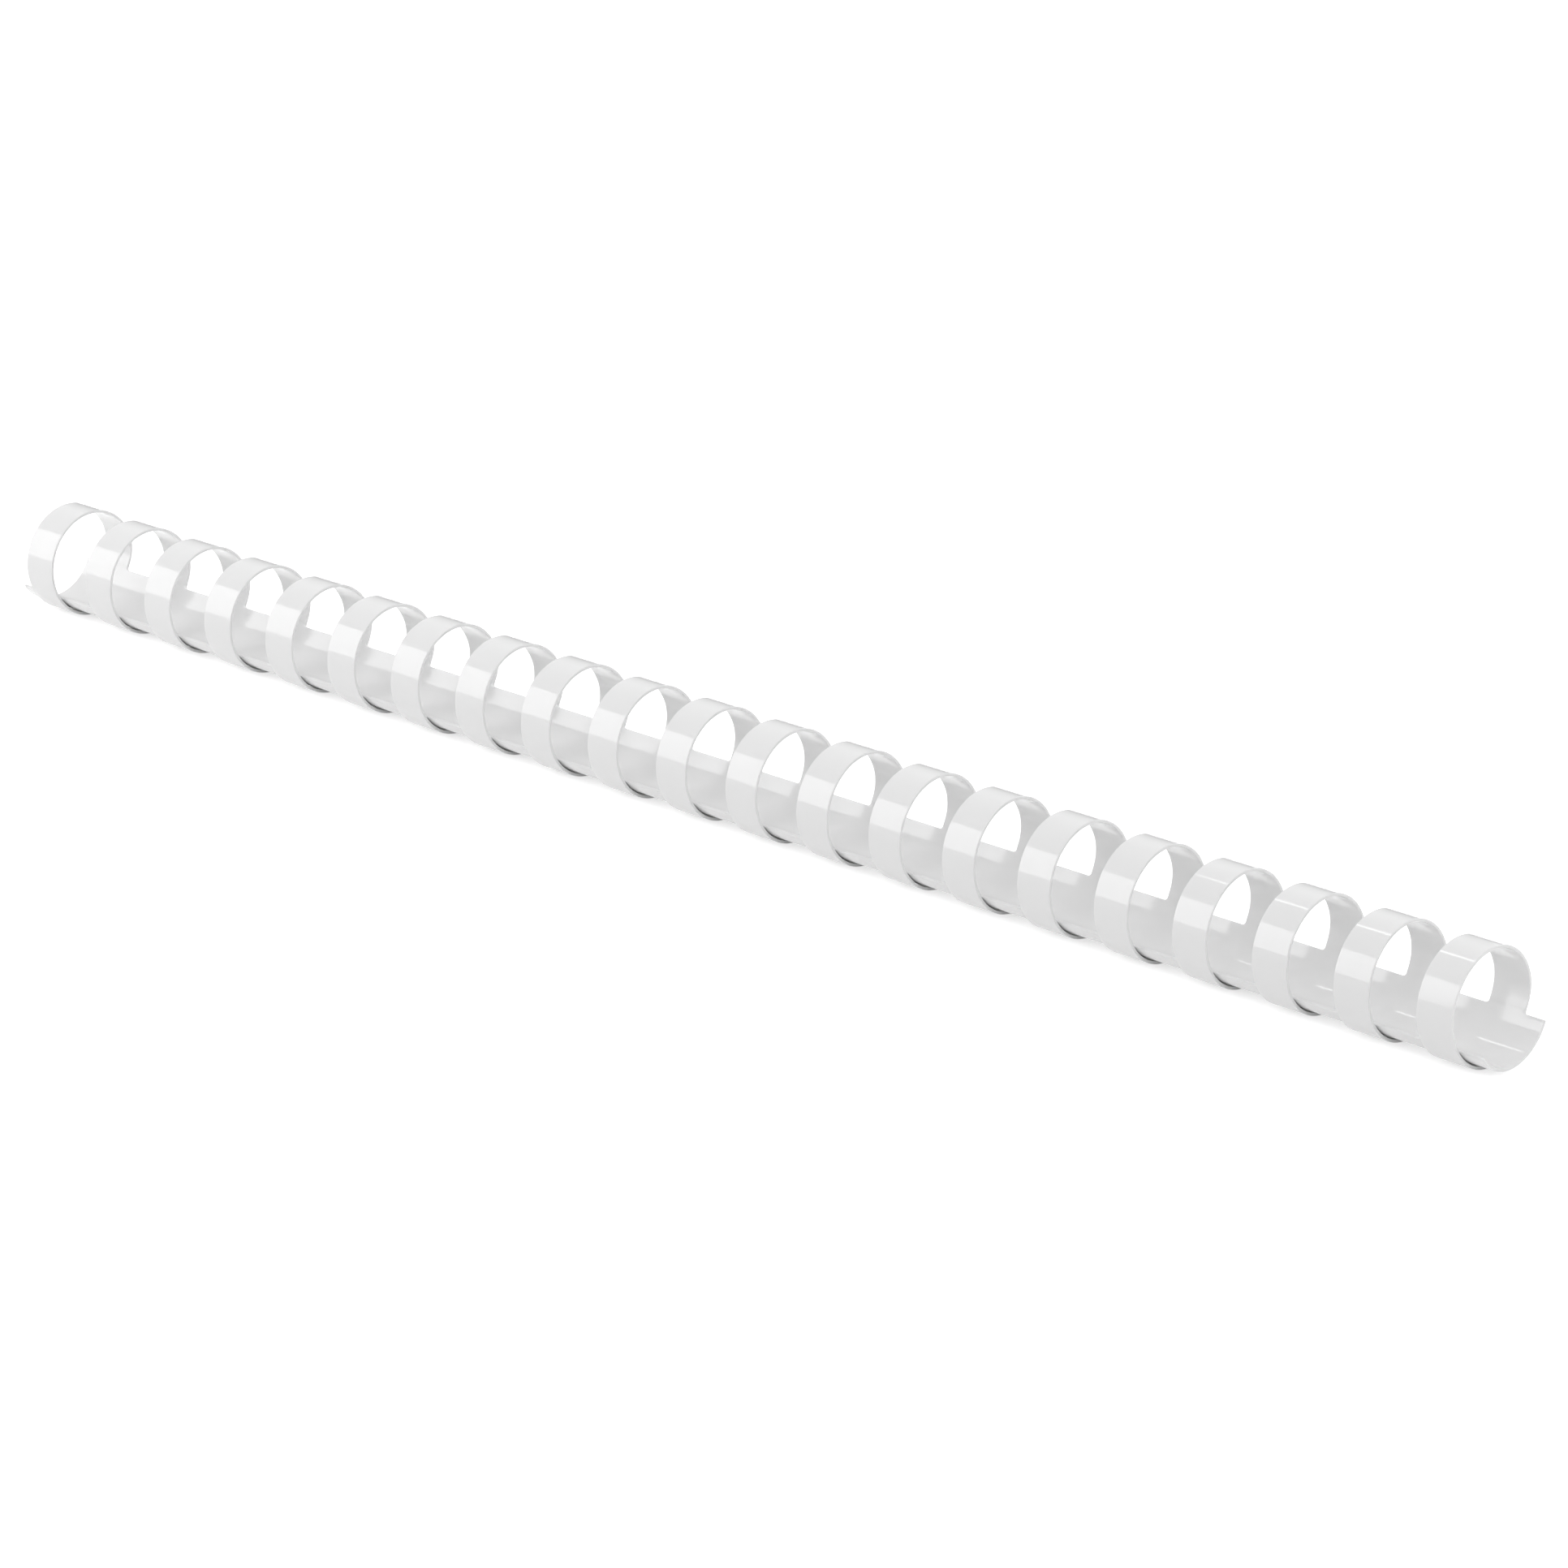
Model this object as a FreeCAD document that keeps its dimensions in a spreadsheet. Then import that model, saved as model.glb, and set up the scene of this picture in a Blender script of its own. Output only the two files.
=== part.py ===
"""Binding comb: a curved spine strip that carries a row of curled ring fingers.

Units are millimetres and degrees. X runs along the comb, +Y is the back, where the
fingers leave the spine, and +Z is up. The origin is the middle of the footprint, on the
surface that the comb lies on.

Angles round the comb start at the bottom (-Z) and grow through the back (+Y), over the
top and down the front (-Y). The ring axis is the line that the rings curl round.
"""
import FreeCAD, Part
import math
import os
import Sketcher

SIZES = {
    "ring_count": 21,         # fingers, one for each punched hole
    "ring_pitch": 14.2875,    # 9/16 inch, the standard comb punching
    "ring_width": 6.1,        # a finger enters an 8 mm punched hole
    "end_margin": 3.5,        # spine beyond the outer fingers
    "sheet_gauge": 0.45,      # thickness of the plastic sheet
    "spine_radius": 8.0,      # outside of the spine
    "tip_clearance": 0.2,     # between the outside of the spine and the finger tips
    "front_angle": 61.0,      # spine's front lip, before the bottom
    "back_angle": 60.0,       # end of the spine's round part, after the bottom
    "shoulder_flat": 1.6,     # flat stretch that lifts a finger off the spine's circle
    "edge_lead": 0.2,         # flat between the spine's round part and its back edge
    "notch_radius": 0.5,      # rounded corners between two fingers, at the back edge
    "root_spare": 0.05,       # straight side of a finger's root, past those corners
    "knee_angle": 240.0,      # where a finger bends most as it opens
    "tip_angle": 390.0,       # end of a finger, under the spine
    "tip_corner": 2.0,        # rounded corners of a finger's end
    "rest_roll": 7.9,         # turn of the whole profile that brings it to balance
}

ROLL = "Sizes.rest_roll"
RING_RADIUS = "(Sizes.spine_radius + Sizes.sheet_gauge + Sizes.tip_clearance)"
ROOT_LENGTH = "(Sizes.notch_radius + Sizes.root_spare)"


def add_sheet(doc):
    """Put the driving sizes in a spreadsheet, one named cell each."""
    sheet = doc.addObject("Spreadsheet::Sheet", "Sizes")
    for row, (name, value) in enumerate(SIZES.items(), start=1):
        sheet.set(f"A{row}", name)
        sheet.set(f"B{row}", str(value))
        sheet.setAlias(f"B{row}", name)
    doc.recompute()
    return sheet


class Profile:
    """Places on the comb's section, worked out from the sheet."""

    def __init__(self, sheet):
        self.gauge = sheet.sheet_gauge
        self.spine = sheet.spine_radius
        self.ring = sheet.spine_radius + sheet.sheet_gauge + sheet.tip_clearance
        self.flat = sheet.shoulder_flat
        self.edge = sheet.edge_lead
        self.root = sheet.edge_lead + sheet.notch_radius + sheet.root_spare
        self.lip_angle = sheet.rest_roll - sheet.front_angle
        self.flat_angle = sheet.rest_roll + sheet.back_angle
        self.knee_angle = sheet.rest_roll + sheet.knee_angle
        self.tip_angle = sheet.rest_roll + sheet.tip_angle
        # The shoulder is tangent to the flat and, inside, to the ring's circle.
        step = self.ring - self.spine
        self.shoulder = (self.ring + self.spine) / 2 - self.flat**2 / (2 * step)
        turn = math.degrees(math.atan2(self.flat, self.spine - self.shoulder))
        self.shoulder_end = self.flat_angle + turn
        self.shoulder_centre = self.on_flat(self.flat, self.spine - self.shoulder)

    def on_flat(self, along, out):
        """Point at a distance along the flat and a distance out from the ring axis."""
        across = radial(1.0, self.flat_angle)
        forward = radial(1.0, self.flat_angle + 90)
        return across * out + forward * along

    def footprint_shift(self):
        """Y of the ring axis that centres the widest extent of the rings."""
        back = self.shoulder_centre.x + self.shoulder
        return (self.ring - back) / 2


def radial(radius, angle):
    """Sketch point at an angle round the comb; sketch X is the comb's Y, sketch Y its Z."""
    turn = math.radians(angle)
    return FreeCAD.Vector(radius * math.sin(turn), -radius * math.cos(turn), 0)


def origin_item(body, role):
    """Plane or axis of a body's own origin."""
    return next(item for item in body.Origin.OriginFeatures if item.Role == role)


def section_sketch(body, name):
    """Empty sketch across the comb, on the body's own YZ plane."""
    sketch = body.newObject("Sketcher::SketchObject", name)
    sketch.AttachmentSupport = (origin_item(body, "YZ_Plane"), [""])
    sketch.MapMode = "FlatFace"
    return sketch


def add_line(sketch, start, end):
    return sketch.addGeometry(Part.LineSegment(start, end))


def add_arc(sketch, centre, radius, start_angle, end_angle):
    """Arc that runs from one angle round the comb to a larger one."""
    circle = Part.Circle(centre, FreeCAD.Vector(0, 0, 1), radius)
    start = math.radians(start_angle - 90)
    end = math.radians(end_angle - 90)
    return sketch.addGeometry(Part.ArcOfCircle(circle, start, end))


def drive(sketch, name, expression, *constraint):
    """Add a dimension and bind it to the sheet."""
    index = sketch.addConstraint(Sketcher.Constraint(*constraint))
    sketch.renameConstraint(index, name)
    sketch.setExpression(f"Constraints.{name}", expression)


def tie(sketch, *constraint):
    sketch.addConstraint(Sketcher.Constraint(*constraint))


def radial_cut(sketch, name, line, angle, expression):
    """Hold a cut across the sheet on a line through the ring axis."""
    tie(sketch, "PointOnObject", -1, 1, line)
    drive(sketch, name, f"{expression} - 90", "Angle", line, math.radians(angle - 90))


def arc_on_axis(sketch, name, arc, radius, expression):
    """Hold an arc round the ring axis at its radius."""
    tie(sketch, "Coincident", arc, 3, -1, 1)
    drive(sketch, name, expression, "Radius", arc, radius)


def hold_flats(sketch, profile, outer, inner, cut):
    """Hold the two sides of the flat, and the square cut across its end."""
    tie(sketch, "Parallel", outer, inner)
    tie(sketch, "Perpendicular", outer, cut)
    drive(sketch, "flat_turn", f"{ROLL} + Sizes.back_angle", "Angle", outer,
          math.radians(profile.flat_angle))


def pad(body, sketch, name, length):
    """Extrude a section along the comb."""
    feature = body.newObject("PartDesign::Pad", name)
    feature.Profile = sketch
    feature.setExpression("Length", length)
    sketch.Visibility = False
    return feature


def draw_spine(sketch, p):
    """Spine section: round from the front lip to the flat, which ends at the back edge."""
    axis = FreeCAD.Vector(0, 0, 0)
    inside = p.spine - p.gauge
    outer = add_arc(sketch, axis, p.spine, p.lip_angle, p.flat_angle)
    inner = add_arc(sketch, axis, inside, p.lip_angle, p.flat_angle)
    outer_flat = add_line(sketch, p.on_flat(0, p.spine), p.on_flat(p.edge, p.spine))
    inner_flat = add_line(sketch, p.on_flat(0, inside), p.on_flat(p.edge, inside))
    edge = add_line(sketch, p.on_flat(p.edge, inside), p.on_flat(p.edge, p.spine))
    lip = add_line(sketch, radial(inside, p.lip_angle), radial(p.spine, p.lip_angle))
    tie(sketch, "Tangent", outer, 2, outer_flat, 1)
    tie(sketch, "Tangent", inner, 2, inner_flat, 1)
    tie(sketch, "Coincident", edge, 1, inner_flat, 2)
    tie(sketch, "Coincident", edge, 2, outer_flat, 2)
    tie(sketch, "Coincident", lip, 1, inner, 1)
    tie(sketch, "Coincident", lip, 2, outer, 1)
    arc_on_axis(sketch, "outside", outer, p.spine, "Sizes.spine_radius")
    arc_on_axis(sketch, "inside", inner, inside, "Sizes.spine_radius - Sizes.sheet_gauge")
    hold_flats(sketch, p, outer_flat, inner_flat, edge)
    drive(sketch, "lead", "Sizes.edge_lead", "Distance", outer_flat, p.edge)
    radial_cut(sketch, "lip", lip, p.lip_angle, f"{ROLL} - Sizes.front_angle")


def draw_stub(sketch, p):
    """Root of one finger: the flat carried on from the spine's back edge."""
    inside = p.spine - p.gauge
    corners = [p.on_flat(p.edge, inside), p.on_flat(p.edge, p.spine),
               p.on_flat(p.root, p.spine), p.on_flat(p.root, inside)]
    sides = [add_line(sketch, corners[k], corners[(k + 1) % 4]) for k in range(4)]
    for k in range(4):
        tie(sketch, "Coincident", sides[k], 2, sides[(k + 1) % 4], 1)
    for k in range(3):
        tie(sketch, "Perpendicular", sides[k], sides[k + 1])
    drive(sketch, "flat_turn", f"{ROLL} + Sizes.back_angle", "Angle", sides[1],
          math.radians(p.flat_angle))
    drive(sketch, "gauge", "Sizes.sheet_gauge", "Distance", sides[0], p.gauge)
    drive(sketch, "length", ROOT_LENGTH, "Distance", sides[1], p.root - p.edge)
    drive(sketch, "outside", "Sizes.spine_radius", "Distance", -1, 1, sides[1], p.spine)
    foot = add_line(sketch, FreeCAD.Vector(0, 0, 0), p.on_flat(0, p.spine))
    sketch.toggleConstruction(foot)
    tie(sketch, "Coincident", foot, 1, -1, 1)
    tie(sketch, "Perpendicular", foot, sides[1])
    tie(sketch, "PointOnObject", foot, 2, sides[1])
    drive(sketch, "lead", "Sizes.edge_lead", "Distance", foot, 2, sides[0], p.edge)


def notch_edges(shape, p):
    """Names of the short edges where a finger's root meets the spine's back edge.

    The first and the last edge found there are the corners of the strip itself.
    """
    middle = p.on_flat(p.edge, p.spine - p.gauge / 2)
    names = []
    for number, edge in enumerate(shape.Edges, start=1):
        centre = edge.CenterOfMass
        off = math.hypot(centre.y - middle.x, centre.z - middle.y)
        if off < p.gauge / 10 and abs(edge.Length - p.gauge) < p.gauge / 10:
            names.append((centre.x, f"Edge{number}"))
    names.sort()
    return [name for _, name in names[1:-1]]


def make_spine(doc, sheet, p):
    """Spine strip with one short root for each finger and rounded notch corners."""
    body = doc.addObject("PartDesign::Body", "spine")
    section = section_sketch(body, "spine_section")
    draw_spine(section, p)
    length = "(Sizes.ring_count - 1) * Sizes.ring_pitch"
    pad(body, section, "spine_strip", f"{length} + Sizes.ring_width + 2 * Sizes.end_margin")
    stub = section_sketch(body, "root_section")
    stub.setExpression("AttachmentOffset.Base.z", "Sizes.end_margin")
    draw_stub(stub, p)
    root = pad(body, stub, "first_root", "Sizes.ring_width")
    doc.recompute()
    row = body.newObject("PartDesign::LinearPattern", "root_row")
    row.Originals = [root]
    row.Direction = (origin_item(body, "X_Axis"), [""])
    row.setExpression("Length", length)
    row.setExpression("Occurrences", "Sizes.ring_count")
    body.Tip = row
    doc.recompute()
    notches = body.newObject("PartDesign::Fillet", "notch_corners")
    notches.Base = (row, notch_edges(row.Shape, p))
    notches.setExpression("Radius", "Sizes.notch_radius")
    body.Tip = notches
    place(body, -spine_length(sheet) / 2, p)


def spine_length(sheet):
    return (sheet.ring_count - 1) * sheet.ring_pitch + sheet.ring_width + 2 * sheet.end_margin


def ring_start(sheet, number):
    """X where a finger begins; finger 1 is at the -X end."""
    return (number - (sheet.ring_count + 1) / 2) * sheet.ring_pitch - sheet.ring_width / 2


def place(body, start, p):
    """Set a sub-part down at its place along the comb, with the rings on the surface."""
    body.Placement.Base = FreeCAD.Vector(start, p.footprint_shift(), p.ring)


def draw_base(sketch, p):
    """Finger section from its root, over the back and the top, to the knee."""
    axis = FreeCAD.Vector(0, 0, 0)
    inside = p.spine - p.gauge
    ring_inside = p.ring - p.gauge
    outer_flat = add_line(sketch, p.on_flat(p.root, p.spine), p.on_flat(p.flat, p.spine))
    inner_flat = add_line(sketch, p.on_flat(p.root, inside), p.on_flat(p.flat, inside))
    root = add_line(sketch, p.on_flat(p.root, inside), p.on_flat(p.root, p.spine))
    centre = p.shoulder_centre
    outer_bend = add_arc(sketch, centre, p.shoulder, p.flat_angle, p.shoulder_end)
    inner_bend = add_arc(sketch, centre, p.shoulder - p.gauge, p.flat_angle, p.shoulder_end)
    outer = add_arc(sketch, axis, p.ring, p.shoulder_end, p.knee_angle)
    inner = add_arc(sketch, axis, ring_inside, p.shoulder_end, p.knee_angle)
    knee = add_line(sketch, radial(ring_inside, p.knee_angle), radial(p.ring, p.knee_angle))
    for flat, bend, ring in ((outer_flat, outer_bend, outer), (inner_flat, inner_bend, inner)):
        tie(sketch, "Tangent", flat, 2, bend, 1)
        tie(sketch, "Tangent", bend, 2, ring, 1)
    tie(sketch, "Coincident", root, 1, inner_flat, 1)
    tie(sketch, "Coincident", root, 2, outer_flat, 1)
    tie(sketch, "Coincident", knee, 1, inner, 2)
    tie(sketch, "Coincident", knee, 2, outer, 2)
    tie(sketch, "Coincident", inner_bend, 3, outer_bend, 3)
    arc_on_axis(sketch, "outside", outer, p.ring, RING_RADIUS)
    arc_on_axis(sketch, "inside", inner, ring_inside, f"{RING_RADIUS} - Sizes.sheet_gauge")
    hold_flats(sketch, p, outer_flat, inner_flat, root)
    drive(sketch, "flat_radius", "Sizes.spine_radius", "Distance", -1, 1, outer_flat, p.spine)
    drive(sketch, "shoulder",
          f"({RING_RADIUS} + Sizes.spine_radius) / 2"
          f" - Sizes.shoulder_flat ^ 2 / (2 * ({RING_RADIUS} - Sizes.spine_radius))",
          "Radius", outer_bend, p.shoulder)
    drive(sketch, "flat_rest", f"Sizes.shoulder_flat - Sizes.edge_lead - {ROOT_LENGTH}",
          "Distance", outer_flat, p.flat - p.root)
    radial_cut(sketch, "knee", knee, p.knee_angle, f"{ROLL} + Sizes.knee_angle")


def make_base(doc, sheet, p, number):
    """Base half of a finger, from the spine to the knee."""
    body = doc.addObject("PartDesign::Body", f"ring_{number:02d}_base")
    section = section_sketch(body, f"base_section_{number:02d}")
    draw_base(section, p)
    pad(body, section, f"base_strip_{number:02d}", "Sizes.ring_width")
    place(body, ring_start(sheet, number), p)


def draw_tip(sketch, p):
    """Finger section from the knee, down the front and under the spine."""
    axis = FreeCAD.Vector(0, 0, 0)
    inside = p.ring - p.gauge
    outer = add_arc(sketch, axis, p.ring, p.knee_angle, p.tip_angle)
    inner = add_arc(sketch, axis, inside, p.knee_angle, p.tip_angle)
    knee = add_line(sketch, radial(inside, p.knee_angle), radial(p.ring, p.knee_angle))
    end = add_line(sketch, radial(inside, p.tip_angle), radial(p.ring, p.tip_angle))
    for line, corner in ((knee, 1), (end, 2)):
        tie(sketch, "Coincident", line, 1, inner, corner)
        tie(sketch, "Coincident", line, 2, outer, corner)
    arc_on_axis(sketch, "outside", outer, p.ring, RING_RADIUS)
    arc_on_axis(sketch, "inside", inner, inside, f"{RING_RADIUS} - Sizes.sheet_gauge")
    radial_cut(sketch, "knee", knee, p.knee_angle, f"{ROLL} + Sizes.knee_angle")
    radial_cut(sketch, "end", end, p.tip_angle, f"{ROLL} + Sizes.tip_angle")


def tip_edges(shape, p):
    """Names of the two short edges at the end of a finger."""
    middle = radial(p.ring - p.gauge / 2, p.tip_angle)
    names = []
    for number, edge in enumerate(shape.Edges, start=1):
        centre = edge.CenterOfMass
        off = math.hypot(centre.y - middle.x, centre.z - middle.y)
        if off < p.gauge / 10 and abs(edge.Length - p.gauge) < p.gauge / 10:
            names.append(f"Edge{number}")
    return names


def make_tip(doc, sheet, p, number):
    """Tip half of a finger, with rounded corners at its free end."""
    body = doc.addObject("PartDesign::Body", f"ring_{number:02d}_tip")
    section = section_sketch(body, f"tip_section_{number:02d}")
    draw_tip(section, p)
    strip = pad(body, section, f"tip_strip_{number:02d}", "Sizes.ring_width")
    doc.recompute()
    corners = body.newObject("PartDesign::Fillet", f"tip_corners_{number:02d}")
    corners.Base = (strip, tip_edges(strip.Shape, p))
    corners.setExpression("Radius", "Sizes.tip_corner")
    body.Tip = corners
    place(body, ring_start(sheet, number), p)


def check(doc):
    """Stop if any object failed or any sub-part has no valid solid."""
    for item in doc.Objects:
        if "Invalid" in item.State or "Error" in item.State:
            raise RuntimeError(f"{item.Name} failed: {item.State}")
    for body in doc.findObjects("PartDesign::Body"):
        if body.Shape.isNull() or not body.Shape.isValid():
            raise RuntimeError(f"{body.Label} has no valid shape")
        if len(body.Shape.Solids) != 1:
            raise RuntimeError(f"{body.Label} isn't one solid")


def export(doc):
    os.makedirs("parts", exist_ok=True)
    for body in doc.findObjects("PartDesign::Body"):
        body.Shape.exportStep(f"parts/{body.Label}.step")


def main():
    doc = FreeCAD.newDocument("binding_comb")
    sheet = add_sheet(doc)
    profile = Profile(sheet)
    make_spine(doc, sheet, profile)
    for number in range(1, int(sheet.ring_count) + 1):
        make_base(doc, sheet, profile, number)
        make_tip(doc, sheet, profile, number)
    doc.recompute()
    check(doc)
    export(doc)
    volume = sum(body.Shape.Volume for body in doc.findObjects("PartDesign::Body"))
    print(f"{len(doc.findObjects('PartDesign::Body'))} sub-parts, {volume:.1f} mm3")


main()
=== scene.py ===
# %% [markdown]
# # A plastic binding comb, from flat blank to curled strip
# The real comb is one sheet of white PVC. A die cuts it flat: a long strip, the spine, with
# a row of straight fingers along one side. Heat then curls the sheet round a mandrel, so
# that each finger becomes a ring whose end tucks in under the spine's front lip.
#
# The script makes it in the same order. Each piece starts as a flat blank, shaped with bmesh
# operators, and one function then curls every blank round the same line.

# %% Load the frame
import math

import bmesh
import bpy
from mathutils import Matrix, Vector


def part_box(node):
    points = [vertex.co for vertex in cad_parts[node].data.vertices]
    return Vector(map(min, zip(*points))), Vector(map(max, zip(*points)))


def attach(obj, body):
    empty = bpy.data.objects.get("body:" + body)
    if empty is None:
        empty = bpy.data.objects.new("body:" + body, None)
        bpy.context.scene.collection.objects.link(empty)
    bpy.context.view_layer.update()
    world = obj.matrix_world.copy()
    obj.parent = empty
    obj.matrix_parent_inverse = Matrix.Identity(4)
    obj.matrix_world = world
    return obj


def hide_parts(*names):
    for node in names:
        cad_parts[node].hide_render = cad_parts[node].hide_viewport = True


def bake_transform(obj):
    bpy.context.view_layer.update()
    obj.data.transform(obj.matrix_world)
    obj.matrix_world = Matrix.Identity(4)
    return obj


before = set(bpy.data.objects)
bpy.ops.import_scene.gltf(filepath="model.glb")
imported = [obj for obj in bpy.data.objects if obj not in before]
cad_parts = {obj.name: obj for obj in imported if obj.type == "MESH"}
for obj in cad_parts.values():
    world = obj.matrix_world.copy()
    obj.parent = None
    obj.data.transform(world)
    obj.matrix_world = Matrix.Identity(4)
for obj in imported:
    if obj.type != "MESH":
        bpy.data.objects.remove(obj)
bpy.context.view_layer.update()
ring_count = sum(1 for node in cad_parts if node.endswith("_tip"))
print("rings:", ring_count)

# %% [markdown]
# ## The comb's sizes
# Blender works in metres. The sheet's own sizes are written here, and where the comb lies
# comes from the frame: the ring axis is a ring's radius above the floor, and the boxes of
# the finger nodes say where each finger is along the comb.

# %% Sizes
MM = 0.001
SHEET = 0.45 * MM             # thickness of the plastic
SPINE_RADIUS = 8.0 * MM       # outside of the spine
TIP_CLEARANCE = 0.2 * MM      # between the spine and the finger tips outside it
RING_RADIUS = SPINE_RADIUS + SHEET + TIP_CLEARANCE
FLAT = 1.6 * MM               # flat stretch that lifts a finger off the spine's circle
EDGE_LEAD = 0.2 * MM          # flat before the spine's back edge
NOTCH_RADIUS = 0.5 * MM       # rounded corners between two fingers
ROOT_SPARE = 0.05 * MM        # straight side of a finger's root, past those corners
TIP_CORNER = 2.0 * MM         # rounded corners of a finger's end
REST_ROLL = 7.9               # degrees that the comb rolls to lie in balance
LIP_ANGLE = REST_ROLL - 61.0  # the spine's front lip, round the ring axis from straight down
FLAT_ANGLE = REST_ROLL + 60.0     # its back edge, where the fingers leave it
TIP_ANGLE = REST_ROLL + 390.0     # a finger's end, past a full turn and under the spine

spine_low, spine_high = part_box("spine")
tip_low, tip_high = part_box("ring_01_tip")
ring_width = tip_high.x - tip_low.x
axis_y = tip_low.y + RING_RADIUS
axis_z = tip_low.z + RING_RADIUS
print("ring width", round(ring_width / MM, 2), "mm, axis height", round(axis_z / MM, 2), "mm")

# %% [markdown]
# ## The line that the sheet is curled round
# Seen from its end, the comb is one smooth line: round under the bottom, flat for a moment
# at the back edge, a tight shoulder, then round again over the top and down the front.
# `curl` walks along that line. It takes a place on the flat sheet (how far from the front
# lip, and how deep below the outer face) and gives the place in the curled comb. Arcs that
# meet tangentially need no extra points, and every piece that uses the same line fits.

# %% The curl
def around(angle):
    """Unit vector at an angle round the ring axis: 0 is down, 90 is the back, 180 is up."""
    turn = math.radians(angle)
    return Vector((0, math.sin(turn), -math.cos(turn)))


ring_axis = Vector((0, axis_y, axis_z))
step_out = RING_RADIUS - SPINE_RADIUS
shoulder_radius = (RING_RADIUS + SPINE_RADIUS) / 2 - FLAT**2 / (2 * step_out)
shoulder_turn = math.degrees(math.atan2(FLAT, SPINE_RADIUS - shoulder_radius))
flat_start = ring_axis + around(FLAT_ANGLE) * SPINE_RADIUS
flat_end = flat_start + around(FLAT_ANGLE + 90) * FLAT
shoulder_axis = flat_end - around(FLAT_ANGLE) * shoulder_radius
shoulder_end = FLAT_ANGLE + shoulder_turn

spine_arc = math.radians(FLAT_ANGLE - LIP_ANGLE) * SPINE_RADIUS
shoulder_arc = math.radians(shoulder_turn) * shoulder_radius
back_edge = spine_arc + EDGE_LEAD
root_cut = back_edge + NOTCH_RADIUS + ROOT_SPARE
ring_begins = spine_arc + FLAT + shoulder_arc


def along_ring(angle):
    """Distance from the front lip, along the sheet, to an angle round the ring."""
    return ring_begins + math.radians(angle - shoulder_end) * RING_RADIUS


def curl(along, depth):
    """Place in the curled comb of a point on the flat sheet."""
    if along < spine_arc:
        angle = LIP_ANGLE + math.degrees(along / SPINE_RADIUS)
        return ring_axis + around(angle) * (SPINE_RADIUS - depth)
    if along < spine_arc + FLAT:
        forward = around(FLAT_ANGLE + 90) * (along - spine_arc)
        return flat_start + forward - around(FLAT_ANGLE) * depth
    if along < ring_begins:
        angle = FLAT_ANGLE + math.degrees((along - spine_arc - FLAT) / shoulder_radius)
        return shoulder_axis + around(angle) * (shoulder_radius - depth)
    angle = shoulder_end + math.degrees((along - ring_begins) / RING_RADIUS)
    return ring_axis + around(angle) * (RING_RADIUS - depth)


finger_end = along_ring(TIP_ANGLE)
print("sheet before curling:", round(finger_end / MM, 1), "mm from lip to finger end")

# %% [markdown]
# ## Blanks
# On the flat sheet X is the comb's length, Y the distance from the front lip and Z the
# height above the inner face. A blank is a box with its corners rounded, then its rims: a
# die leaves a small radius on the outer rim, and that radius is what catches the light along
# every finger. Last, cuts across the blank give the curl something to bend. The cuts are
# close together, because gloss shows every facet, and there is one more a hair from each
# end, so that two pieces that meet have the same shading where they touch.

# %% Blank helpers
RIM = 0.09 * MM               # radius that the die leaves on the sheet's rims
RIM_STEPS, NOTCH_STEPS, TIP_STEPS = 3, 6, 8    # segments of each rounding
BEND_STEP = 0.22 * MM         # distance between the cuts that let a blank curl
SEAM_HAIR = 0.01 * MM         # from a blank's end to its first cut
CUT_SNAP = SEAM_HAIR / 10     # a cut this close to a vertex goes through it
SAME_POINT = SEAM_HAIR / 20   # vertices this close are merged
SHARP = math.radians(60)      # edges that turn more than this stay sharp


def block(bm, x_low, x_high, start, end):
    """Box of sheet between two places along X and two distances from the lip."""
    size = Vector((x_high - x_low, end - start, SHEET))
    middle = Vector(((x_low + x_high) / 2, (start + end) / 2, SHEET / 2))
    place = Matrix.Translation(middle) @ Matrix.Diagonal((*size, 1))
    bmesh.ops.create_cube(bm, size=1, matrix=place)


def upright_edges(bm, test):
    """Edges through the sheet's thickness whose place passes the test."""
    found = []
    for edge in bm.edges:
        a, b = (vertex.co for vertex in edge.verts)
        if abs(a.z - b.z) > SHEET / 2 and test((a + b) / 2):
            found.append(edge)
    return found


def round_edges(bm, edges, radius, segments):
    """Round edges of a blank to a radius."""
    bmesh.ops.bevel(bm, geom=edges, offset=radius, offset_type="OFFSET", affect="EDGES",
                    segments=segments, profile=0.5, material=-1, clamp_overlap=True)


def rim_edges(bm, seams):
    """Edges round both faces of the sheet, but for those on a seam with another piece."""
    found = []
    for edge in bm.edges:
        a, b = (vertex.co for vertex in edge.verts)
        flat = abs(a.z - b.z) < SHEET / 10
        corner = abs(edge.calc_face_angle(0)) > SHARP
        on_seam = any(abs(a.y - s) < SEAM_HAIR and abs(b.y - s) < SEAM_HAIR for s in seams)
        if flat and corner and not on_seam:
            found.append(edge)
    return found


def cut(bm, point, normal):
    """Cut a whole blank with a plane."""
    everything = bm.verts[:] + bm.edges[:] + bm.faces[:]
    bmesh.ops.bisect_plane(bm, geom=everything, dist=CUT_SNAP, plane_co=point,
                           plane_no=normal)


def cut_across(bm, places):
    """Cut a blank across its length at distances from the lip."""
    for place in places:
        cut(bm, (0, place, 0), (0, 1, 0))


def bend_places(start, end):
    """Distances from the lip at which a blank is cut so that it can curl."""
    count = round((end - start) / BEND_STEP)
    inner = [start + (end - start) * k / count for k in range(1, count)]
    return [start + SEAM_HAIR] + inner + [end - SEAM_HAIR]


print("cuts in a spine's blank:", len(bend_places(0, spine_arc)))


# %% [markdown]
# Curling moves every vertex of the blank along the line. An attribute keeps the flat places,
# because the finish follows the sheet: the calender's faint lines run along the comb, and
# they bend round with it.

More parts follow.
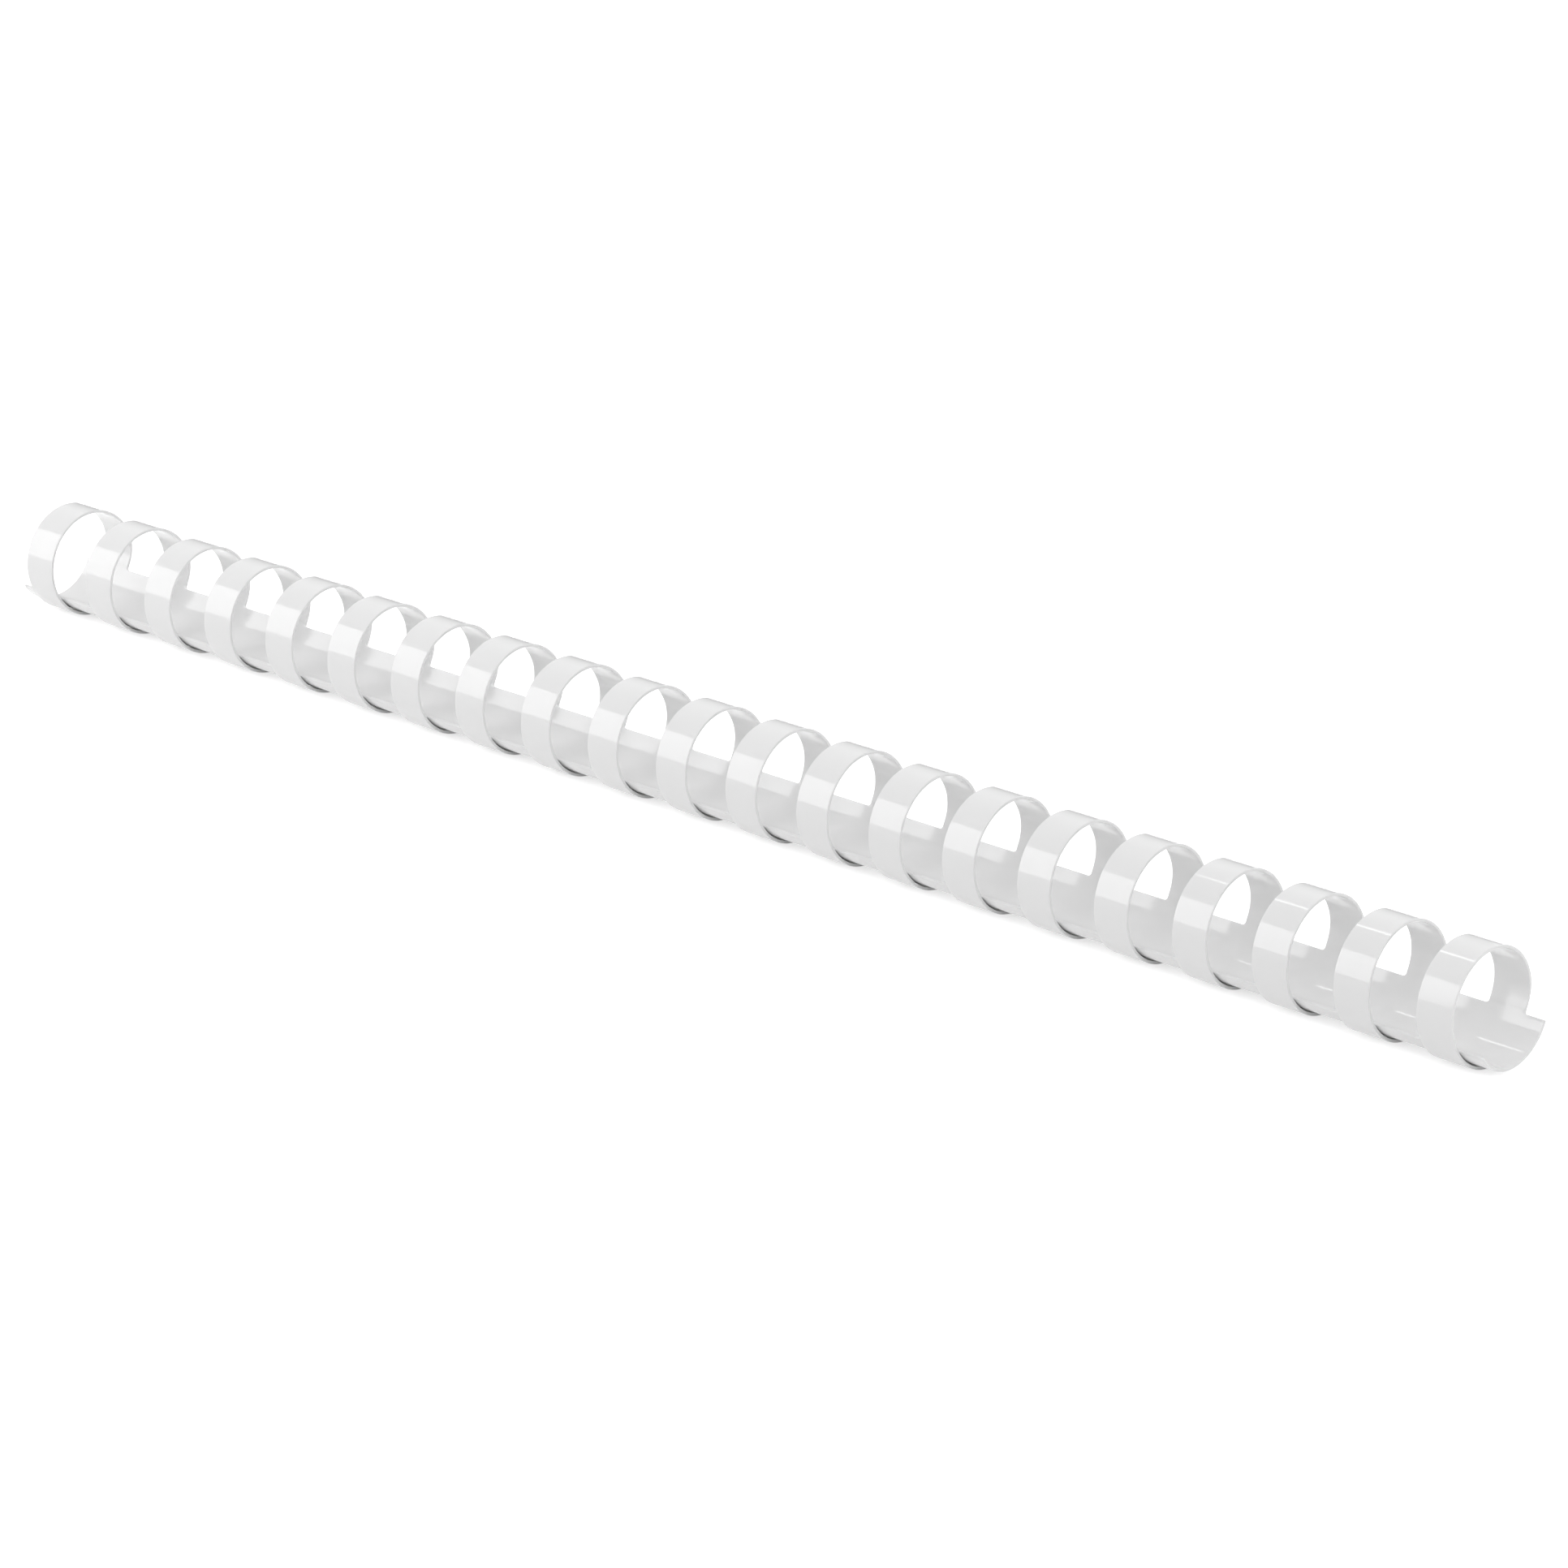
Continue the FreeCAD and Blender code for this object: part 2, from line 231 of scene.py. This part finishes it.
# %% From blank to piece
def curled_piece(name, bm):
    """Curl a finished blank and make it an object of that name."""
    bmesh.ops.remove_doubles(bm, verts=bm.verts, dist=SAME_POINT)
    flat_layer = bm.verts.layers.float_vector.new("flat")
    for vertex in bm.verts:
        flat = vertex.co.copy()
        vertex[flat_layer] = flat
        bent = curl(flat.y, SHEET - flat.z)
        vertex.co = Vector((flat.x, bent.y, bent.z))
    bmesh.ops.recalc_face_normals(bm, faces=bm.faces)
    for face in bm.faces:
        face.smooth = True
    mesh = bpy.data.meshes.new(name)
    bm.to_mesh(mesh)
    bm.free()
    mesh.set_sharp_from_angle(angle=SHARP)
    piece = bpy.data.objects.new(name, mesh)
    bpy.context.scene.collection.objects.link(piece)
    shading = piece.modifiers.new("even_shading", "WEIGHTED_NORMAL")
    shading.keep_sharp = True
    return piece


# %% [markdown]
# ## The spine
# The spine's blank is one long box. Cuts on both sides of every finger leave a small face
# at each root, and extruding those faces gives the short roots that the fingers grow from.
# Bevelling the corner between root and edge is what rounds the notches, as the die does to
# stop a tear there.

# %% The spine's blank
def finger_span(number):
    """Where a finger starts and ends along the comb."""
    low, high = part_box(f"ring_{number:02d}_tip")
    return low.x, high.x


def spine_blank():
    """Flat spine with its finger roots, its notches and rims rounded."""
    bm = bmesh.new()
    block(bm, spine_low.x, spine_high.x, 0, back_edge)
    spans = [finger_span(number) for number in range(1, ring_count + 1)]
    for x in (side for span in spans for side in span):
        cut(bm, (x, 0, 0), (1, 0, 0))
    middles = [(low + high) / 2 for low, high in spans]
    roots = [face for face in bm.faces
             if face.normal.y > 0.9
             and min(abs(face.calc_center_median().x - m) for m in middles) < MM]
    grown = bmesh.ops.extrude_discrete_faces(bm, faces=roots)["faces"]
    tips = {vertex for face in grown for vertex in face.verts}
    bmesh.ops.translate(bm, verts=list(tips), vec=(0, root_cut - back_edge, 0))
    bmesh.ops.remove_doubles(bm, verts=bm.verts, dist=SAME_POINT)
    ends = (spine_low.x, spine_high.x)
    notches = upright_edges(bm, lambda p: abs(p.y - back_edge) < SEAM_HAIR
                            and min(abs(p.x - e) for e in ends) > MM)
    round_edges(bm, notches, NOTCH_RADIUS, NOTCH_STEPS)
    round_edges(bm, rim_edges(bm, [root_cut]), RIM, RIM_STEPS)
    return bm


bm = spine_blank()
cut_across(bm, bend_places(0, spine_arc) + bend_places(spine_arc, root_cut))
spine = curled_piece("comb_spine", bm)
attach(spine, "spine")
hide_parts("spine")
print("spine:", len(spine.data.polygons), "faces")

# %% [markdown]
# ## The fingers
# A finger flexes along its whole length as it opens, and the frame stands in for that with
# two hinges. So a finger is two strips that meet at the top of the ring: the first runs
# from the root to that seam, and the second from there to the finger's end.

# %% The fingers' strips
SEAM_ANGLE = 158.0            # where a finger's two strips meet, just behind its top
top_seam = along_ring(SEAM_ANGLE)


def strip_blank(x_low, x_high, start, end, free_end):
    """Straight piece of finger; a free end gets its rounded corners."""
    bm = bmesh.new()
    block(bm, x_low, x_high, start, end)
    seams = [start] if free_end else [start, end]
    if free_end:
        corners = upright_edges(bm, lambda p: abs(p.y - end) < SEAM_HAIR)
        round_edges(bm, corners, TIP_CORNER, TIP_STEPS)
    round_edges(bm, rim_edges(bm, seams), RIM, RIM_STEPS)
    cut_across(bm, bend_places(start, end))
    return bm


def make_finger(number):
    """Two curled strips for one finger, from its root to the top seam and on to its end."""
    x_low, x_high = finger_span(number)
    base, tip = f"ring_{number:02d}_base", f"ring_{number:02d}_tip"
    back = curled_piece(f"finger_{number:02d}_back",
                        strip_blank(x_low, x_high, root_cut, top_seam, False))
    front = curled_piece(f"finger_{number:02d}_front",
                         strip_blank(x_low, x_high, top_seam, finger_end, True))
    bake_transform(back)
    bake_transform(front)
    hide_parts(base)
    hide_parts(tip)
    return [back, front]


fingers = [strip for number in range(1, ring_count + 1) for strip in make_finger(number)]
print("finger strips:", len(fingers), "faces each:", len(fingers[0].data.polygons),
      len(fingers[1].data.polygons))

# %% [markdown]
# ## White PVC
# Calendered PVC is glossy but never a mirror. Its surface carries a faint orange peel and
# even fainter lines along the roll, which break up a reflection a little, and handling adds
# soft scuffs. Each of those is a node group of its own, so that another plastic can use it
# with other strengths.

# %% Node group helpers
def new_group(name, inputs, outputs):
    """Empty shader node group with named sockets: (name, socket type, default)."""
    group = bpy.data.node_groups.new(name, "ShaderNodeTree")
    for direction, sockets in (("INPUT", inputs), ("OUTPUT", outputs)):
        for label, kind, default in sockets:
            socket = group.interface.new_socket(label, in_out=direction, socket_type=kind)
            if default is not None:
                socket.default_value = default
    return group, group.nodes.new("NodeGroupInput"), group.nodes.new("NodeGroupOutput")


def add_node(tree, kind, settings=None, values=None, links=None):
    """Add a node; settings are its properties, values and links go to its inputs."""
    node = tree.nodes.new(kind)
    for key, value in (settings or {}).items():
        setattr(node, key, value)
    for key, value in (values or {}).items():
        node.inputs[key].default_value = value
    for key, socket in (links or {}).items():
        tree.links.new(socket, node.inputs[key])
    return node


def math_node(tree, operation, a, b):
    """Maths on two sockets or numbers."""
    node = add_node(tree, "ShaderNodeMath", {"operation": operation})
    for slot, value in enumerate((a, b)):
        if isinstance(value, (int, float)):
            node.inputs[slot].default_value = value
        else:
            tree.links.new(value, node.inputs[slot])
    return node.outputs[0]


def told(group):
    """Say what a finished group holds, and pass it on."""
    print("node group", group.name, "with", len(group.nodes), "nodes")
    return group


# %% [markdown]
# The orange peel is a smooth noise about three millimetres across, stretched along the
# comb because the sheet was rolled that way. The roll lines are a second noise, very long
# and very narrow. They are added to one height, so that one Bump node reads them all.

# %% Calendered surface
SURFACE_NOISES = (("Peel", (0.5, 1.0, 1.0), 320.0),      # strength, stretch and scale
                  ("Lines", (0.04, 1.0, 1.0), 2600.0))


def calendered_surface():
    group, given, result = new_group(
        "calendered_surface",
        [("Peel", "NodeSocketFloat", 1.0), ("Lines", "NodeSocketFloat", 0.2)],
        [("Height", "NodeSocketFloat", None)])
    flat = add_node(group, "ShaderNodeAttribute", {"attribute_name": "flat"})
    heights = []
    for label, stretch, scale in SURFACE_NOISES:
        place = add_node(group, "ShaderNodeMapping", values={"Scale": stretch},
                         links={"Vector": flat.outputs["Vector"]})
        noise = add_node(group, "ShaderNodeTexNoise", values={"Scale": scale, "Detail": 1.5},
                         links={"Vector": place.outputs["Vector"]})
        heights.append(math_node(group, "MULTIPLY", noise.outputs["Fac"],
                                 given.outputs[label]))
    total = math_node(group, "ADD", *heights)
    group.links.new(total, result.inputs["Height"])
    return group


surface_group = told(calendered_surface())

# %% [markdown]
# Handling leaves short soft scuffs where fingers and paper rub. A stretched noise, cut off
# above a level, gives patches of them, and a cloud of larger noise decides where they are.
# They only raise the roughness, as real scuffs on white plastic do.

# %% Handling scuffs
SCUFF_TURN = (0.3, 0.2, 0.5)      # radians between the streaks and the comb's own directions
SCUFF_STRETCH = (0.25, 1.0, 1.0)
SCUFF_SCALE, PATCH_SCALE = 1500.0, 90.0
SCUFF_RANGE, PATCH_RANGE = (0.55, 0.75), (0.45, 0.7)    # noise levels where each fades in


def handling_scuffs():
    group, given, result = new_group(
        "handling_scuffs",
        [("Amount", "NodeSocketFloat", 0.5)],
        [("Mask", "NodeSocketFloat", None)])
    place = add_node(group, "ShaderNodeTexCoord")
    turned = add_node(group, "ShaderNodeMapping",
                      values={"Rotation": SCUFF_TURN, "Scale": SCUFF_STRETCH},
                      links={"Vector": place.outputs["Object"]})
    streaks = add_node(group, "ShaderNodeTexNoise",
                       values={"Scale": SCUFF_SCALE, "Detail": 3.0},
                       links={"Vector": turned.outputs["Vector"]})
    clouds = add_node(group, "ShaderNodeTexNoise",
                      values={"Scale": PATCH_SCALE, "Detail": 2.0},
                      links={"Vector": place.outputs["Object"]})
    masks = []
    for noise, (low, high) in ((streaks, SCUFF_RANGE), (clouds, PATCH_RANGE)):
        mask = add_node(group, "ShaderNodeMapRange",
                        values={"From Min": low, "From Max": high},
                        links={"Value": noise.outputs["Fac"]})
        masks.append(mask.outputs["Result"])
    both = math_node(group, "MULTIPLY", *masks)
    scaled = math_node(group, "MULTIPLY", both, given.outputs["Amount"])
    group.links.new(scaled, result.inputs["Mask"])
    return group


scuff_group = told(handling_scuffs())

# %% [markdown]
# White plastic is not one flat white: the filler is a little uneven, which shows as clouds
# a few millimetres across, hardly lighter or darker than the rest.

# %% Uneven white
CLOUD_SCALE = 160.0


def uneven_white():
    group, given, result = new_group(
        "uneven_white",
        [("Light", "NodeSocketColor", (0.9, 0.9, 0.9, 1)),
         ("Shade", "NodeSocketColor", (0.86, 0.86, 0.85, 1))],
        [("Color", "NodeSocketColor", None)])
    place = add_node(group, "ShaderNodeTexCoord")
    noise = add_node(group, "ShaderNodeTexNoise", values={"Scale": CLOUD_SCALE, "Detail": 4.0},
                     links={"Vector": place.outputs["Object"]})
    mix = add_node(group, "ShaderNodeMix", {"data_type": "RGBA"},
                   links={"Factor": noise.outputs["Fac"]})
    colours = [socket for socket in mix.inputs if socket.type == "RGBA"]
    group.links.new(given.outputs["Light"], colours[0])
    group.links.new(given.outputs["Shade"], colours[1])
    blended = next(socket for socket in mix.outputs if socket.type == "RGBA")
    group.links.new(blended, result.inputs["Color"])
    return group


white_group = told(uneven_white())

# %% [markdown]
# One finish serves every piece. Numbers that are the same all over go straight into the
# Principled shader, and only what changes over the surface comes from the groups. A little
# light sinks into white plastic and comes out again nearby, which subsurface stands for.

# %% The finish
PVC_IOR = 1.54
SUNK_LIGHT = 0.2              # share of the light that sinks in
SUNK_DEPTH = 0.4 * MM


def pvc(name, light, shade, roughness, scuffed, peel, lines, bump):
    """White PVC: Principled shader with the three groups placed at this finish's values."""
    material = bpy.data.materials.new(name)
    material.use_nodes = True
    tree = material.node_tree
    shader = tree.nodes["Principled BSDF"]
    shader.inputs["IOR"].default_value = PVC_IOR
    shader.inputs["Subsurface Weight"].default_value = SUNK_LIGHT
    shader.inputs["Subsurface Radius"].default_value = (1.0, 1.0, 1.0)
    shader.inputs["Subsurface Scale"].default_value = SUNK_DEPTH
    white = add_node(tree, "ShaderNodeGroup", {"node_tree": white_group},
                     {"Light": (*light, 1), "Shade": (*shade, 1)})
    tree.links.new(white.outputs["Color"], shader.inputs["Base Color"])
    scuffs = add_node(tree, "ShaderNodeGroup", {"node_tree": scuff_group},
                      {"Amount": scuffed})
    rough = math_node(tree, "ADD", scuffs.outputs["Mask"], roughness)
    tree.links.new(rough, shader.inputs["Roughness"])
    skin = add_node(tree, "ShaderNodeGroup", {"node_tree": surface_group},
                    {"Peel": peel, "Lines": lines})
    relief = add_node(tree, "ShaderNodeBump", values={"Strength": 1.0, "Distance": bump},
                      links={"Height": skin.outputs["Height"]})
    tree.links.new(relief.outputs["Normal"], shader.inputs["Normal"])
    return material


sheet_face = pvc("glossy_white_pvc", light=(0.925, 0.925, 0.925), shade=(0.905, 0.905, 0.905),
                 roughness=0.085, scuffed=0.12, peel=1.0, lines=0.08, bump=0.012 * MM)
for piece in [spine] + fingers:
    piece.data.materials.append(sheet_face)
print("finish:", sheet_face.name, "on", 1 + len(fingers), "pieces")

# %% [markdown]
# ## Floor, light and camera
# The comb is white on white, so its shape has to come from reflections and from soft shade.
# The floor is nearly white, as a paper sweep is, and it throws light up under the rings. The
# camera, reflections and clear pieces see it a little brighter than its light makes it, so
# that it meets the white background, and the comb's own shadow still lies on it.

# %% Floor
FLOOR_HALF = 3.0              # metres from its middle to its edge
FLOOR_GREY = 0.92
FLOOR_ROUGHNESS = 0.9
FLOOR_GLOSS = 0.1
FLOOR_LIFT = 0.6              # added brightness for rays that see the floor directly


def seen_directly(tree):
    """1 for rays from the camera, a reflection or a clear piece, and 0 for diffuse light."""
    path = add_node(tree, "ShaderNodeLightPath")
    seen = math_node(tree, "MAXIMUM", path.outputs["Is Camera Ray"],
                     path.outputs["Is Glossy Ray"])
    return math_node(tree, "MAXIMUM", seen, path.outputs["Is Transmission Ray"])


def square_plane(name, half_size, material_name):
    """Square with a material of its own; gives the object, the node tree and the shader."""
    bm = bmesh.new()
    bmesh.ops.create_grid(bm, x_segments=1, y_segments=1, size=half_size)
    mesh = bpy.data.meshes.new(name)
    bm.to_mesh(mesh)
    bm.free()
    plane = bpy.data.objects.new(name, mesh)
    bpy.context.scene.collection.objects.link(plane)
    material = bpy.data.materials.new(material_name)
    material.use_nodes = True
    mesh.materials.append(material)
    return plane, material.node_tree, material.node_tree.nodes["Principled BSDF"]


def make_floor():
    """Pale floor at the level that the comb rests on."""
    floor, tree, shader = square_plane("floor", FLOOR_HALF, "pale_floor")
    shader.inputs["Base Color"].default_value = (FLOOR_GREY, FLOOR_GREY, FLOOR_GREY, 1)
    shader.inputs["Roughness"].default_value = FLOOR_ROUGHNESS
    shader.inputs["Specular IOR Level"].default_value = FLOOR_GLOSS
    shader.inputs["Emission Color"].default_value = (1, 1, 1, 1)
    lift = math_node(tree, "MULTIPLY", seen_directly(tree), FLOOR_LIFT)
    tree.links.new(lift, shader.inputs["Emission Strength"])


make_floor()
print("floor:", 2 * FLOOR_HALF, "m wide, grey", FLOOR_GREY)

# %% [markdown]
# In a studio, a grey card is stood behind a white object and out of view, so that its far
# edges reflect something darker than the background and don't fade into it. This one is
# seen only in reflections, and it is darkest at its foot, where the view grazes the comb.

# %% Grey card
CARD_AT = (-1.05, 1.21)       # behind the comb, where its top edges reflect
CARD_SIZE = 1.0
CARD_LEVELS = (0.08, 1.0)     # at its foot and at its top, where it meets the white room


def make_card():
    """Card that stands on the floor, faces the comb and shows only in reflections."""
    card, tree, shader = square_plane("grey_card", CARD_SIZE / 2, "grey_card")
    card.location = (*CARD_AT, CARD_SIZE / 2)
    card.rotation_euler = Vector((*CARD_AT, 0)).to_track_quat("Z", "Y").to_euler()
    for kind in ("camera", "diffuse", "shadow", "transmission", "volume_scatter"):
        setattr(card, "visible_" + kind, False)
    shader.inputs["Base Color"].default_value = (0, 0, 0, 1)
    shader.inputs["Specular IOR Level"].default_value = 0.0
    shader.inputs["Emission Color"].default_value = (1, 1, 1, 1)
    place = add_node(tree, "ShaderNodeTexCoord")
    across = add_node(tree, "ShaderNodeSeparateXYZ",
                      links={"Vector": place.outputs["Object"]})
    rise = add_node(tree, "ShaderNodeMapRange",
                    values={"From Min": -CARD_SIZE / 2, "From Max": CARD_SIZE / 2,
                            "To Min": CARD_LEVELS[0], "To Max": CARD_LEVELS[1]},
                    links={"Value": across.outputs["Y"]})
    tree.links.new(rise.outputs["Result"], shader.inputs["Emission Strength"])


make_card()
print("card:", CARD_SIZE, "m square, at", CARD_AT)

# %% [markdown]
# A tall softbox at the front left gives the band that runs across the front of every ring,
# and a strip overhead gives the thin line near the tops of the nearest ones. Both are there
# only to be mirrored, so they don't wash out the matte white. The left fill does the
# opposite: it lifts the far rings and leaves no spot on them. The other two fills do both.

# %% Lights
def softbox(name, at, towards, width, height, radiance, matte=True, shine=True):
    """Area light at a point, facing another, for matte light, reflections or both."""
    light = bpy.data.lights.new(name, "AREA")
    light.shape = "RECTANGLE"
    light.size = width
    light.size_y = height
    light.energy = radiance * math.pi * width * height
    lamp = bpy.data.objects.new(name, light)
    bpy.context.scene.collection.objects.link(lamp)
    lamp.location = at
    lamp.rotation_euler = (Vector(towards) - Vector(at)).to_track_quat("-Z", "Y").to_euler()
    lamp.visible_diffuse = matte
    lamp.visible_glossy = shine
    return lamp


softbox("front_left_softbox", at=(-0.85, -0.75, 0.43), towards=(-0.05, 0.05, 0.43),
        width=0.81, height=0.86, radiance=2.6, matte=False)
softbox("overhead_strip", at=(-0.40, 0.09, 0.80), towards=(-0.40, 0.09, 0.0),
        width=0.20, height=0.05, radiance=4.0, matte=False)
softbox("left_fill", at=(-0.55, -0.45, 0.25), towards=(-0.15, 0, 0),
        width=0.25, height=0.25, radiance=4.3, shine=False)
softbox("right_fill", at=(1.40, -0.54, 0.60), towards=(0, 0, 0),
        width=0.80, height=0.80, radiance=1.3)
softbox("back_fill", at=(-0.30, 1.40, 0.50), towards=(0, 0, 0),
        width=1.00, height=1.00, radiance=2.2)
print("lamps:", len(bpy.data.lights))

# %% [markdown]
# The room's own light is dim at the horizon and full overhead, like a studio with a white
# ceiling, and that shades the rings softly from their tops down. The camera, reflections
# and clear pieces see the room as plain white.

# %% World
ROOM_LOW, ROOM_HIGH = 0.04, 1.02    # light from the horizon and from overhead
ROOM_FULL = 0.9                     # height on a unit sphere where the second is reached


def make_world():
    """White room whose light grows with height."""
    world = bpy.data.worlds.new("white_room")
    world.use_nodes = True
    tree = world.node_tree
    background = tree.nodes["Background"]
    place = add_node(tree, "ShaderNodeTexCoord")
    height = add_node(tree, "ShaderNodeSeparateXYZ",
                      links={"Vector": place.outputs["Generated"]})
    room = add_node(tree, "ShaderNodeMapRange",
                    values={"From Min": 0.0, "From Max": ROOM_FULL,
                            "To Min": ROOM_LOW, "To Max": ROOM_HIGH},
                    links={"Value": height.outputs["Z"]})
    level = add_node(tree, "ShaderNodeMix", {"data_type": "FLOAT"}, {"B": 1.0},
                     {"Factor": seen_directly(tree), "A": room.outputs["Result"]})
    tree.links.new(level.outputs["Result"], background.inputs["Strength"])
    background.inputs["Color"].default_value = (1, 1, 1, 1)
    bpy.context.scene.world = world


make_world()
print("world:", bpy.context.scene.world.name)

# %% [markdown]
# The camera circles a point near the middle of the comb. A long lens from about a metre
# keeps the far rings nearly as large as the near ones.

# %% Camera
AZIMUTH = 43.42               # round from the front towards +X
ELEVATION = 18.14
ROLL = -1.23
DISTANCE = 0.9875
SENSOR = 36                   # mm wide
LENS = 153.0                  # mm
AIM_RIGHT = 10.96 * MM        # from the comb's middle to the aim, across the view
AIM_UP = 4.56 * MM
NEAREST = 0.01                # metres; nothing closer than this is drawn


def make_camera():
    """Camera on a long arm round the comb, turned a little about its own view."""
    turn, lift = math.radians(AZIMUTH), math.radians(ELEVATION)
    back = Vector((math.sin(turn) * math.cos(lift), -math.cos(turn) * math.cos(lift),
                   math.sin(lift)))
    level_right = Vector((0, 0, 1)).cross(back).normalized()
    level_up = back.cross(level_right)
    tilt = math.radians(ROLL)
    right = level_right * math.cos(tilt) - level_up * math.sin(tilt)
    up = level_up * math.cos(tilt) + level_right * math.sin(tilt)
    camera = bpy.data.objects.new("camera", bpy.data.cameras.new("camera"))
    camera.data.lens = LENS
    camera.data.sensor_width = SENSOR
    camera.data.clip_start = NEAREST
    place = right * AIM_RIGHT + up * AIM_UP + back * DISTANCE
    turned = Matrix((right, up, back)).transposed().to_4x4()
    camera.matrix_world = Matrix.Translation(place) @ turned
    bpy.context.scene.collection.objects.link(camera)
    bpy.context.scene.camera = camera


make_camera()
bpy.context.scene.view_settings.view_transform = "Standard"
print("camera at", [round(value, 3) for value in bpy.context.scene.camera.location])
